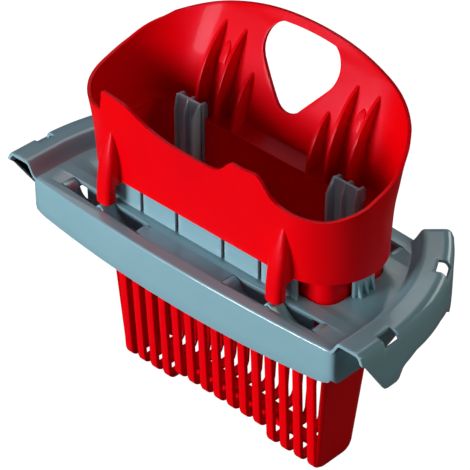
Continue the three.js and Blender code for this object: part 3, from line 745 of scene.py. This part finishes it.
def collar():
    for i, path in enumerate(finger_paths(), start=1):
        for sign, depth in ((1, "front"), (-1, "rear")):
            turned = [(x, sign * y, nx, sign * ny) for x, y, nx, ny in path]
            build = Build()
            build.slab(*finger_grid(turned))
            build.finish(f"{depth}_finger_{i}_plate", f"{depth}_fingers", GREY,
                         [f"{depth}_press_finger_{i}"], bevel=0.45, segments=3)
    low, high = box_mm("right_collar_end")
    face = high[0] - GUSSET_REACH
    for sign, hand in ((1, "right"), (-1, "left")):
        build = Build()
        plate = [(sign * face, y, sign, 0) for y in spread(low[1], high[1], 5)]
        build.slab(*finger_grid(plate))
        for y in (-GUSSET_PITCH, 0, GUSSET_PITCH):
            outline = [(face - 1, -SINK), (high[0], -SINK), (high[0], 1.2),
                       (face, GUSSET_HEIGHT), (face - 1, GUSSET_HEIGHT)]
            sides = (y - GUSSET_HALF, y + GUSSET_HALF)
            build.loft([[(sign * x, v, z) for x, z in outline] for v in sides])
        build.finish(f"{hand}_collar_end_plate", f"{hand}_collar_end", GREY,
                     [f"{hand}_collar_end"], bevel=0.45, segments=3)


# ---- Guide towers ----------------------------------------------------------------------------
TOWER_CORNER = 2.6


def guide_towers():
    """A plate with a rounded outer corner, three ribs in front of it and three fins behind."""
    x0, x1 = TOWER_BOX[0][0], TOWER_BOX[1][0]
    front_y = TOWER_BOX[0][1]
    middle = (x0 + x1) / 2
    plate_back = TOWER_PLATE_Y + TOWER_PLATE
    for sign, hand in ((1, "right"), (-1, "left")):
        build = Build()

        def upright(a, b, outline):
            low, high = sorted((sign * a, sign * b))
            build.loft([[(x, y, z) for y, z in outline] for x in (low, high)])

        arc = [(x1 - TOWER_CORNER * (1 - math.sin(a)), TOWER_TOP - TOWER_CORNER * (1 - math.cos(a)))
               for a in spread(0, math.pi / 2, 6)]
        face = [(x0, -SINK), (x0, TOWER_TOP)] + arc + [(x1, -SINK)]
        build.loft([[(sign * x, y, z) for x, z in face] for y in (TOWER_PLATE_Y, plate_back)])
        back = [(plate_back - 0.2, -SINK), (plate_back - 0.2, TOWER_TOP - 0.4),
                (TOWER_PLATE_Y - 0.4, TOWER_TOP - 0.2)]
        long_rib = back + [(front_y, TOWER_TOP - 9), (front_y, -SINK)]
        short_rib = back + [(front_y + 2.2, TOWER_TOP - 8), (front_y + 2.2, 1 - SINK)]
        low_rib = back + [(front_y + 3.4, TOWER_TOP - 9), (front_y + 3.4, -SINK)]
        upright(x0, x0 + TOWER_PLATE, long_rib)
        upright(middle - TOWER_PLATE / 2, middle + TOWER_PLATE / 2, short_rib)
        upright(x1 - TOWER_PLATE - 0.2, x1 - 0.2, low_rib)
        fin = [(plate_back - 0.3, -SINK), (TOWER_FIN_BACK_Y, -SINK), (TOWER_FIN_BACK_Y, TOWER_TOP - 3),
               (TOWER_FIN_BACK_Y - 1.6, TOWER_TOP - 0.8), (plate_back - 0.3, TOWER_TOP - 0.5)]
        for a in (x0 + 0.1, middle - TOWER_PLATE / 2, x1 - TOWER_PLATE - 0.3):
            upright(a, a + TOWER_PLATE, fin)
        a, b = sorted((sign * x0, sign * x1))
        build.box(a, b, TOWER_PLATE_Y, TOWER_BOX[1][1], -SINK, 3)
        build.finish(f"{hand}_tower_body", "frame", GREY, [f"{hand}_guide_tower"])


# ---- Drain basket ----------------------------------------------------------------------------
ARC_STATIONS = 12
WINDOW_X = (TOWER_BOX[0][0] - 1, TOWER_BOX[1][0] + 1)
WINDOW_STEP = 0.03
BASKET_LEVELS = [0, 0.12, 0.25, 0.38, 0.5, 0.62, 0.75, 0.87, 1]
SLAT_EDGE = 1.1
UNDER_ROUND = 6.0
END_TUCK = 0.15
END_WALL = 2.4
KEEL_HALF = 4.0


def ring_outline(half_x, front, back, rf, rb, back_x, front_x, steps=ARC_STATIONS):
    """An anticlockwise outline with the same stations at every height.

    back_x and front_x are the fixed places along the long sides, from +x to -x.
    """
    points = []

    def arc(cx, cy, r, a0, a1):
        for a in spread(a0, a1, steps + 1):
            points.append((cx + r * math.cos(math.radians(a)), cy + r * math.sin(math.radians(a))))

    arc(half_x - rb, back - rb, rb, 0, 90)
    points.extend((x, back) for x in back_x)
    arc(rb - half_x, back - rb, rb, 90, 180)
    arc(rf - half_x, rf - front, rf, 180, 270)
    points.extend((x, -front) for x in reversed(front_x))
    arc(half_x - rf, rf - front, rf, 270, 360)
    return points


def window_stations(count, half):
    """Places along the neck's back wall, with a step at each side of the two tower windows."""
    places = spread(half, -half, count)
    edges = [WINDOW_X[1], WINDOW_X[0]]
    for edge in edges + [-e for e in reversed(edges)]:
        i = min(range(len(places)), key=lambda n: abs(places[n] - edge))
        places[i] = edge + WINDOW_STEP
        places[i + 1] = edge - WINDOW_STEP
    return places


BACK_COUNT = 57
NECK_BACK_X = window_stations(BACK_COUNT, NECK_HALF_X - NECK_CORNER - 1)
NECK_FRONT_X = spread(80, -80, 21)


def in_window(x):
    return WINDOW_X[0] <= abs(x) <= WINDOW_X[1]


def taper(z):
    return clamp01(z / FOOT)


def side_depth(side, z):
    return lerp(NECK_HALF_Y, FOOT_BACK_Y if side > 0 else FOOT_FRONT_Y, taper(z))


def neck_outline(z, inset):
    t = taper(z)
    half_x = lerp(NECK_HALF_X, FOOT_HALF_X, t) - inset
    front, back = side_depth(-1, z) - inset, side_depth(1, z) - inset
    radius = max(0.6, lerp(NECK_CORNER, FOOT_CORNER, clamp01(2.2 * t)) - inset)
    scale = lerp(1, FOOT_HALF_X / NECK_HALF_X, t)
    return ring_outline(half_x, front, back, radius, radius,
                        [x * scale for x in NECK_BACK_X], [x * scale for x in NECK_FRONT_X])


def drain_basket():
    build = Build()
    flat = neck_outline(0, 0)
    tops = []
    for x, y in flat:
        tops.append(-1.0 if y > NECK_HALF_Y - 1 and in_window(x) else NECK_TOP)

    def column(i, inset):
        heights = [lerp(SLOT_TOP, tops[i], t) for t in BASKET_LEVELS]
        return [(*neck_outline(z, inset)[i], z) for z in heights]

    outer = [column(i, 0) for i in range(len(flat))]
    inner = [column(i, WALL) for i in range(len(flat))]
    build.slab(outer, inner, wrap=True)

    for i in range(SLAT_COUNT):
        add_slat(build, (i - (SLAT_COUNT - 1) / 2) * SLAT_PITCH)
    for sign in (1, -1):
        add_basket_end(build, sign)
    add_basket_floor(build)
    return build.finish("drain_basket_body", "insert", RED, ["drain_basket"])


def add_slat(build, x_mid):
    """A slat runs down the front, curls under the floor and runs up the back.

    An end slat stops under the floor, because the closed end wraps round the back there.
    """
    low = FOOT + (MIDDLE_RISE if abs(x_mid) < MIDDLE_HALF_X else 0)
    half = SLAT_WIDTH / 2
    edge = SLAT_EDGE
    turn = UNDER_ROUND
    rings = []
    for side in (-1, 1) if abs(x_mid) < END_SLAT_X else (-1,):
        path = [(side_depth(side, z), z, 1.0, 0.0) for z in spread(SLOT_TOP + 2, low + turn, 10)]
        foot = side_depth(side, low)
        for a in spread(0, 90, 8)[1:]:
            c, s = math.cos(math.radians(a)), math.sin(math.radians(a))
            path.append((foot - turn + turn * c, low + turn - turn * s, c, -s))
        if abs(x_mid) > END_SLAT_X:
            path.append((END_BACK_ROUND - FOOT_BACK_Y, low, 0.0, -1.0))
        if side > 0:
            path.reverse()
        for y, z, ny, nz in path:
            x = x_mid * lerp(1, SLAT_LEAN, taper(z))
            section = [(-half, -SLAT_DEPTH), (half, -SLAT_DEPTH), (half, -0.8 * edge),
                       (half - 0.3 * edge, -0.25 * edge), (half - edge, 0), (edge - half, 0),
                       (0.3 * edge - half, -0.25 * edge), (-half, -0.8 * edge)]
            rings.append([(x + u, side * (y + ny * v), z + nz * v) for u, v in section])
    build.loft(rings)


def add_basket_end(build, sign):
    """The closed end: a wall that narrows downwards, rounds under and wraps round the back."""
    under = UNDER_ROUND
    outer_rows = []
    inner_rows = []
    heights = spread(SLOT_TOP + 2, FOOT + under, 12)
    heights += [FOOT + under * (1 - math.sin(a)) for a in spread(0, math.pi / 2, 8)[1:]]
    for z in heights:
        low = clamp01((FOOT + under - z) / under)
        tuck = under * (1 - math.sqrt(max(0.0, 1 - low * low)))
        half_x = lerp(NECK_HALF_X, FOOT_HALF_X, taper(z)) - END_TUCK * tuck
        front_round = lerp(8.0, 4.0, taper(z))

        def c_path(inset):
            path = []
            for side, radius, turn, curl in ((-1, front_round, 42, 1.0), (1, END_BACK_ROUND, 90, 0.6)):
                y = side_depth(side, z) - curl * tuck - inset
                radius -= inset
                corner = [(half_x - inset - radius + radius * math.cos(math.radians(a)),
                           y - radius + radius * math.sin(math.radians(a)))
                          for a in spread(turn, 0, 9)]
                corner = [(x, side * v) for x, v in corner]
                path += corner if side < 0 else corner[::-1]
            return [(sign * x, y, z) for x, y in path]

        outer_rows.append(c_path(0))
        inner_rows.append([(x, y, max(pz, FOOT + END_WALL)) for x, y, pz in c_path(END_WALL)])
    build.slab(outer_rows, inner_rows)


def add_basket_floor(build):
    """Keel under the middle, and the pads that carry the slats at the two ends."""
    reach = MIDDLE_HALF_X + 2
    build.box(-reach, reach, -KEEL_HALF, KEEL_HALF, FOOT, FOOT + MIDDLE_RISE + 2.4)
    for sign in (1, -1):
        ends = sorted((sign * (MIDDLE_HALF_X + 1.5), sign * (FOOT_HALF_X - 1)))
        build.box(*ends, -KEEL_HALF, KEEL_HALF, FOOT + 0.05, FOOT + 2.6)


# ---- Hopper ----------------------------------------------------------------------------------
# Height, half length, front depth, back depth, front and back corner radius.
HOPPER_ROWS = [
    (SLEEVE_BOTTOM, 104, 36, 36, 35.9, 35.9),
    (36, 104.4, 36.4, 36.8, 35, 36.4),
    (50, 105.2, 37.2, 38.6, 34, 38),
    (62, 106.2, 38.2, 41.5, 33, 39.5),
    (72, 106.8, 39, 45, 33, 42),
    (84, 107.4, 39.8, 50.2, 33, 44),
    (96, 107.8, 40.4, 56.2, 33, 46),
    (BACK_PEAK + 1, 108.2, 41, 62.4, 33, 48),
]
# Height of the rim, by y along the sides and by x along the front.
SIDE_RIM = [
    (-60, 61.6), (-33, 62), (-24, 63.3), (-14, 65.5), (0, 69.5), (12.5, 73.6), (27, 80.6), (42, 86),
    (60, 89),
]
FRONT_RIM = [
    (-100, 61), (-76, 61.2), (-74.6, 62.2), (-73.6, 70), (-72.8, 75.4), (-71.6, 76), (-64.6, 75.5),
    (-54.5, 74), (-43.8, 69.6), (-34.4, 66.1), (-19.3, 63.2), (0, 62.5), (10.7, 62.7), (18.6, 64.2),
    (23.5, 67.9), (28.4, 73.2), (31, 74.9), (37, 74.6), (44.4, 75.4), (48.8, 75.9), (52.7, 73.4),
    (57.4, 67.4), (61, 64.4), (65, 62.6), (74, 61.5), (100, 61.2),
]
BACK_FLAT = 57.0
SLEEVE_BACK_X = spread(BACK_FLAT, -BACK_FLAT, BACK_COUNT)
FRONT_COUNT = 125
SLEEVE_BEND = 24
BACK_BOW = 0.0025
FILLET = 1.8
LEG_ROOT = SLEEVE_BOTTOM - 2.0
LEG_INNER_Y = 39.8
LEG_ROOT_INNER_Y = 35.2
SLEEVE_Y = 36.0
SLEEVE_SLOPE = 0.022
LEDGE_RISE = 3.5
BLOCK_HALF_X = 41.0
HOLE_SHARES = (0, 0.12, 0.3, 0.52, 0.76, 1)


def hopper_outline(z, inset):
    half_x, front, back, rf, rb = [
        curve_read([(row[0], row[n]) for row in HOPPER_ROWS], z) for n in range(1, 6)
    ]
    straight = half_x - rf - 0.2
    return ring_outline(half_x - inset, front - inset, back - inset, rf - inset, rb - inset,
                        SLEEVE_BACK_X, spread(straight, -straight, FRONT_COUNT), SLEEVE_BEND)


def hopper_depth(z):
    return curve_read([(row[0], row[3]) for row in HOPPER_ROWS], z)


def rim_height(x, y):
    side = curve_read(SIDE_RIM, y)
    arch = BACK_PEAK - BACK_BOW * x * x
    height = smooth_max(side, lerp(side - 20, arch, smoothstep(24, 40, y)), 1.5)
    front = curve_read(FRONT_RIM, x)
    return lerp(height, front, smoothstep(-22, -33, y)) if y < -22 else height


def leg_fillet(x, y):
    """The lower edge curves down where a leg leaves it."""
    centre = LEG_X[-1 if y < 0 else 1]
    from_leg = abs(abs(x) - centre) - LEG_HALF_WIDTH + 0.8
    if abs(y) < 30 or from_leg > FILLET:
        return 0.0
    d = FILLET - max(0.0, from_leg)
    return FILLET - math.sqrt(max(0.0, FILLET**2 - d * d))


HOLE_CENTRE_Z = 82.0
HOLE_CORNERS = [(46, 103.5, 14), (-46, 103.5, 14), (0, 51.5, 11)]


def hole_radii():
    """Distance from the opening's centre to its edge, by angle: a triangle with generous corners."""
    outline = resample(rounded_corners(HOLE_CORNERS, 0, 12), 1.0)
    spokes = [(math.atan2(z - HOLE_CENTRE_Z, x), math.hypot(x, z - HOLE_CENTRE_Z)) for x, z in outline]
    spokes.sort()
    first, last = spokes[0], spokes[-1]
    turn = 2 * math.pi
    return [(last[0] - turn, last[1])] + spokes + [(first[0] + turn, first[1])]


HOLE_RADII = hole_radii()


def hole_radius(angle):
    after = next(i for i, (a, _) in enumerate(HOLE_RADII) if a >= angle)
    (a0, r0), (a1, r1) = HOLE_RADII[after - 1], HOLE_RADII[after]
    return lerp(r0, r1, (angle - a0) / (a1 - a0))


HOPPER_LEVELS = [0, 0.05, 0.12, 0.2, 0.28, 0.36, 0.395, 0.43, 0.47, 0.52, 0.57, 0.62, 0.67, 0.72, 0.77,
                 0.82, 0.87, 0.91, 0.945, 0.975, 1.0]


def hopper():
    build = Build()
    base = hopper_outline(SLEEVE_BOTTOM, 0)
    count = len(base)
    rims = []
    for i in range(count):
        z = 62.0
        for _ in range(6):
            z = rim_height(*hopper_outline(z, 0)[i])
        rims.append(z)
    feet = [SLEEVE_BOTTOM - leg_fillet(*p) for p in base]

    def column(i, inset):
        heights = [lerp(feet[i], rims[i], t) for t in HOPPER_LEVELS]
        return [(*hopper_outline(z, inset)[i], z) for z in heights]

    outer = [column(i, 0) for i in range(count)]
    inner = [column(i, WALL) for i in range(count)]
    first = SLEEVE_BEND + 1
    block_columns = [first + n for n, x in enumerate(SLEEVE_BACK_X) if abs(x) <= BLOCK_HALF_X]
    c0, c1 = block_columns[0], block_columns[-1]
    r0 = next(k for k, t in enumerate(HOPPER_LEVELS) if t > 0.38)
    r1 = next(k for k, t in enumerate(HOPPER_LEVELS) if t > 0.94)
    bare = {(i, k) for i in range(c0, c1) for k in range(r0, r1)}
    build.slab(outer, inner, wrap=True, bare=bare)

    border = [(c, r0) for c in range(c0, c1)] + [(c1, r) for r in range(r0, r1)]
    border += [(c, r1) for c in range(c1, c0, -1)] + [(c0, r) for r in range(r1, r0, -1)]
    rings_outer = []
    rings_inner = []
    for c, r in border:
        x_edge, _, z_edge = outer[c][r]
        angle = math.atan2(z_edge - HOLE_CENTRE_Z, x_edge)
        radius = hole_radius(angle)
        x_hole = radius * math.cos(angle)
        z_hole = HOLE_CENTRE_Z + radius * math.sin(angle)
        line_outer = []
        line_inner = []
        for t in HOLE_SHARES:
            x = lerp(x_hole, x_edge, t)
            z = lerp(z_hole, z_edge, t)
            depth = hopper_depth(z)
            line_outer.append((x, depth, z))
            line_inner.append((x, depth - WALL, z))
        line_outer[-1] = outer[c][r]
        line_inner[-1] = inner[c][r]
        rings_outer.append(line_outer)
        rings_inner.append(line_inner)
    add_ring_patch(build, rings_outer, rings_inner)

    add_ledge(build)
    for side in (-1, 1):
        for sign in (-1, 1):
            add_leg(build, sign * LEG_X[side], side)
    add_back_ribs(build)
    add_catches(build)
    return build.finish("hopper_body", "insert", RED, ["hopper"],
                        bevel=0.5, segments=3, angle=45)


def add_ring_patch(build, outer, inner):
    """The wall round the opening: closed round the ring, walled at its inner edge only."""
    a = build.grid(outer)
    b = build.grid(inner)
    count = len(a)
    for i in range(count):
        j = (i + 1) % count
        for k in range(len(a[0]) - 1):
            build.face(a[i][k], a[j][k], a[j][k + 1], a[i][k + 1])
            build.face(b[i][k + 1], b[j][k + 1], b[j][k], b[i][k])
        build.face(a[j][0], a[i][0], b[i][0], b[j][0])


def add_ledge(build):
    """A sloping shelf carries the sleeve on the basket's neck, cut away round the towers."""
    shelf = ring_outline(103.4, 35.2, 35.8, 33, 34, SLEEVE_BACK_X, spread(68, -68, 21))
    neck = neck_outline(0, WALL)
    top = []
    under = []
    for (xs, ys), (xn, yn) in zip(shelf, neck):
        if yn > NECK_HALF_Y - WALL - 1 and in_window(xn):
            yn = TOWER_FIN_BACK_Y + 1.2
        row = []
        for t in (0, 0.3, 0.65, 1):
            z = lerp(LEDGE_TOP + LEDGE_RISE, LEDGE_TOP, smoothstep(0, 0.8, t))
            row.append((lerp(xs, xn, t), lerp(ys, yn, t), z))
        top.append(row)
        under.append([(x, y, LEDGE_BOTTOM) for x, y, _ in row])
    build.slab(top, under, wrap=True)


def add_leg(build, x_mid, side):
    """A leg stands out from the sleeve, domed at its top and rounded on its outer corners."""
    heights = [LEG_FOOT, LEG_FOOT + 0.8, 6, 10, LEG_ROOT - 0.1, LEG_ROOT + 0.1, 20, 24] + [
        lerp(LEG_SPRING, LEG_PEAK, math.sin(a)) for a in spread(0, math.pi / 2, 12)
    ]
    rings = []
    for z in heights:
        rise = clamp01((z - LEG_SPRING) / (LEG_PEAK - LEG_SPRING))
        half = max(0.25, LEG_HALF_WIDTH * math.sqrt(max(0.0, 1 - rise**1.35)))
        if z < LEG_FOOT + 0.5:
            half -= 0.6
        wall = SLEEVE_Y + SLEEVE_SLOPE * (z - SLEEVE_BOTTOM)
        outer = lerp(LEG_OUTER_Y - 0.8, wall + 0.3, clamp01(z / LEG_PEAK) ** 2.4)
        inner = LEG_INNER_Y if z < LEG_ROOT else LEG_ROOT_INNER_Y
        round_by = min(half * 0.75, 3.4)
        section = [(-half, inner), (half, inner)]
        for start, centre in ((0, half - round_by), (90, round_by - half)):
            for a in spread(start, start + 90, 6):
                v = outer - round_by + round_by * math.sin(math.radians(a))
                section.append((centre + round_by * math.cos(math.radians(a)), max(v, inner + 0.05)))
        rings.append([(x_mid + u, side * v, z) for u, v in section])
    build.loft(rings)


# Free edges of the ribs inside the back wall, as (y, height).
LONG_RIB = [
    (24.2, LEDGE_TOP - 1), (24.4, 44), (26.3, 55), (29.5, 64.5), (34, 73), (38.5, 79), (44.5, 85.5),
    (53.5, 93),
]
SHORT_RIB = [(24.2, LEDGE_TOP - 1), (24.6, 42), (28, 53), (33, 62), (38, 67.8), (43.8, 72)]
RIB_PLACES = [(59.8, LONG_RIB), (43.7, LONG_RIB), (30, SHORT_RIB)]
RIB_EDGE_HALF = 1.0
RIB_ROOT_HALF = 1.3
CATCH_X = 52.8
CATCH_BOTTOM = 68.0
CATCH_TOP = 80.5
CATCH_HALF = 4.2


def add_back_ribs(build):
    for place, edge in RIB_PLACES:
        for sign in (-1, 1):
            x = sign * place
            rings = []
            for z in spread(edge[0][1], edge[-1][1], 30):
                wall = hopper_depth(z) - WALL * 0.5
                y = min(curve_read([(ez, ey) for ey, ez in edge], z), wall - 0.3)
                rings.append([(x - RIB_EDGE_HALF, y, z), (x + RIB_EDGE_HALF, y, z),
                              (x + RIB_ROOT_HALF, wall, z), (x - RIB_ROOT_HALF, wall, z)])
            build.loft(rings)


def add_catches(build):
    """A small raised catch with a rounded top stands between each pair of long ribs."""
    for sign in (-1, 1):
        centre = sign * CATCH_X
        rings = []
        for t in spread(0, 1, 12):
            z = lerp(CATCH_BOTTOM, CATCH_TOP, t)
            width = CATCH_HALF * math.sqrt(max(0.02, 1 - clamp01((t - 0.45) / 0.55) ** 2))
            wall = hopper_depth(z) - WALL
            rise = lerp(2.2, 0.3, t**1.5)
            rings.append([(centre - width, wall + 1.0, z), (centre - 0.55 * width, wall - rise, z),
                          (centre + 0.55 * width, wall - rise, z), (centre + width, wall + 1.0, z)])
        build.loft(rings)


# ---- Floor, light and camera -----------------------------------------------------------------
# Floor and lights are in metres.  The camera's place is in millimetres above the deck.
FLOOR_REACH = 6.0
FLOOR_DROP = 0.0004
FLOOR_GREY = 0.12
SKY_LIGHT = 0.05
CAMERA_LENS = 187.4
CAMERA_AZIMUTH = 44.07
CAMERA_ELEVATION = 36.125
CAMERA_PLACE = (802.82, -833.21, 834.60)


def stage():
    """The floor looks white to the camera but throws little light up on the part."""
    mesh = bpy.data.meshes.new("floor")
    r = FLOOR_REACH
    mesh.from_pydata([(-r, -r, 0), (r, -r, 0), (r, r, 0), (-r, r, 0)], [], [(0, 1, 2, 3)])
    floor = bpy.data.objects.new("floor", mesh)
    floor.location.z = CAD_BOX[0][2] - FLOOR_DROP
    bpy.context.scene.collection.objects.link(floor)
    material = bpy.data.materials.new("pale_floor")
    material.use_nodes = True
    shader = material.node_tree.nodes["Principled BSDF"]
    shader.inputs["Base Color"].default_value = (FLOOR_GREY, FLOOR_GREY, FLOOR_GREY, 1)
    shader.inputs["Roughness"].default_value = 0.9
    shader.inputs["Specular IOR Level"].default_value = 0.1
    shader.inputs["Emission Color"].default_value = (1, 1, 1, 1)
    path = material.node_tree.nodes.new("ShaderNodeLightPath")
    material.node_tree.links.new(path.outputs["Is Camera Ray"], shader.inputs["Emission Strength"])
    mesh.materials.append(material)


def area_light(name, place, target, size, power, colour=(1, 1, 1), diffuse=True):
    light = bpy.data.lights.new(name, "AREA")
    light.shape = "RECTANGLE"
    light.size, light.size_y = size
    light.energy = power
    light.color = colour
    holder = bpy.data.objects.new(name, light)
    holder.location = place
    holder.rotation_euler = (Vector(target) - Vector(place)).to_track_quat("-Z", "Y").to_euler()
    holder.visible_diffuse = diffuse
    bpy.context.scene.collection.objects.link(holder)
    return holder


def lights():
    middle = (0, 0, DECK * MM)
    area_light("key", (-0.7, -1.94, 0.45), middle, (0.9, 0.7), 51.5)
    area_light("glow", (0.42, -1.76, 1.02), middle, (0.2, 0.2), 7, (1.0, 0.62, 0.9), diffuse=False)
    area_light("low", (0.6, -1.7, 0.06), middle, (0.6, 0.1), 2.5)
    area_light("tint", (-1.1, -1.2, 1.3), middle, (0.14, 0.14), 0.7, (1.0, 0.4, 0.85))
    area_light("top", (-0.9, 0.8, 1.7), middle, (1.3, 1.1), 7)
    area_light("back", (0.3, 2.0, 0.55), middle, (1.6, 0.9), 11)
    area_light("side", (1.6, 0.4, 1.3), middle, (0.9, 0.7), 8, (1.0, 0.96, 0.82))
    inside = area_light("inside", (0.35, -0.75, 1.7), middle, (0.4, 0.4), 3.6)
    lit = bpy.data.collections.new("lit_inside")
    for piece in bpy.data.objects:
        if "tower" in piece.name and not piece.hide_render:
            lit.objects.link(piece)
    inside.light_linking.receiver_collection = lit
    world = bpy.data.worlds.new("studio")
    world.use_nodes = True
    background = world.node_tree.nodes["Background"]
    background.inputs["Color"].default_value = (1, 1, 1, 1)
    path = world.node_tree.nodes.new("ShaderNodeLightPath")
    seen = world.node_tree.nodes.new("ShaderNodeMapRange")
    seen.inputs["To Min"].default_value = SKY_LIGHT
    seen.inputs["To Max"].default_value = 1.0
    world.node_tree.links.new(path.outputs["Is Camera Ray"], seen.inputs["Value"])
    world.node_tree.links.new(seen.outputs["Result"], background.inputs["Strength"])
    bpy.context.scene.world = world
    bpy.context.scene.view_settings.view_transform = "Standard"


def camera():
    data = bpy.data.cameras.new("camera")
    data.sensor_width = 36
    data.lens = CAMERA_LENS
    data.clip_end = 20
    view = bpy.data.objects.new("camera", data)
    azimuth = math.radians(CAMERA_AZIMUTH)
    elevation = math.radians(CAMERA_ELEVATION)
    flat = math.cos(elevation)
    back = Vector((math.sin(azimuth) * flat, -math.cos(azimuth) * flat, math.sin(elevation)))
    x, y, z = CAMERA_PLACE
    view.location = Vector((x, y, z + DECK)) * MM
    view.rotation_euler = (-back).to_track_quat("-Z", "Y").to_euler()
    bpy.context.scene.collection.objects.link(view)
    bpy.context.scene.camera = view


camera()
frame_moulding()
leaf_springs()
collar()
guide_towers()
drain_basket()
hopper()
stage()
lights()
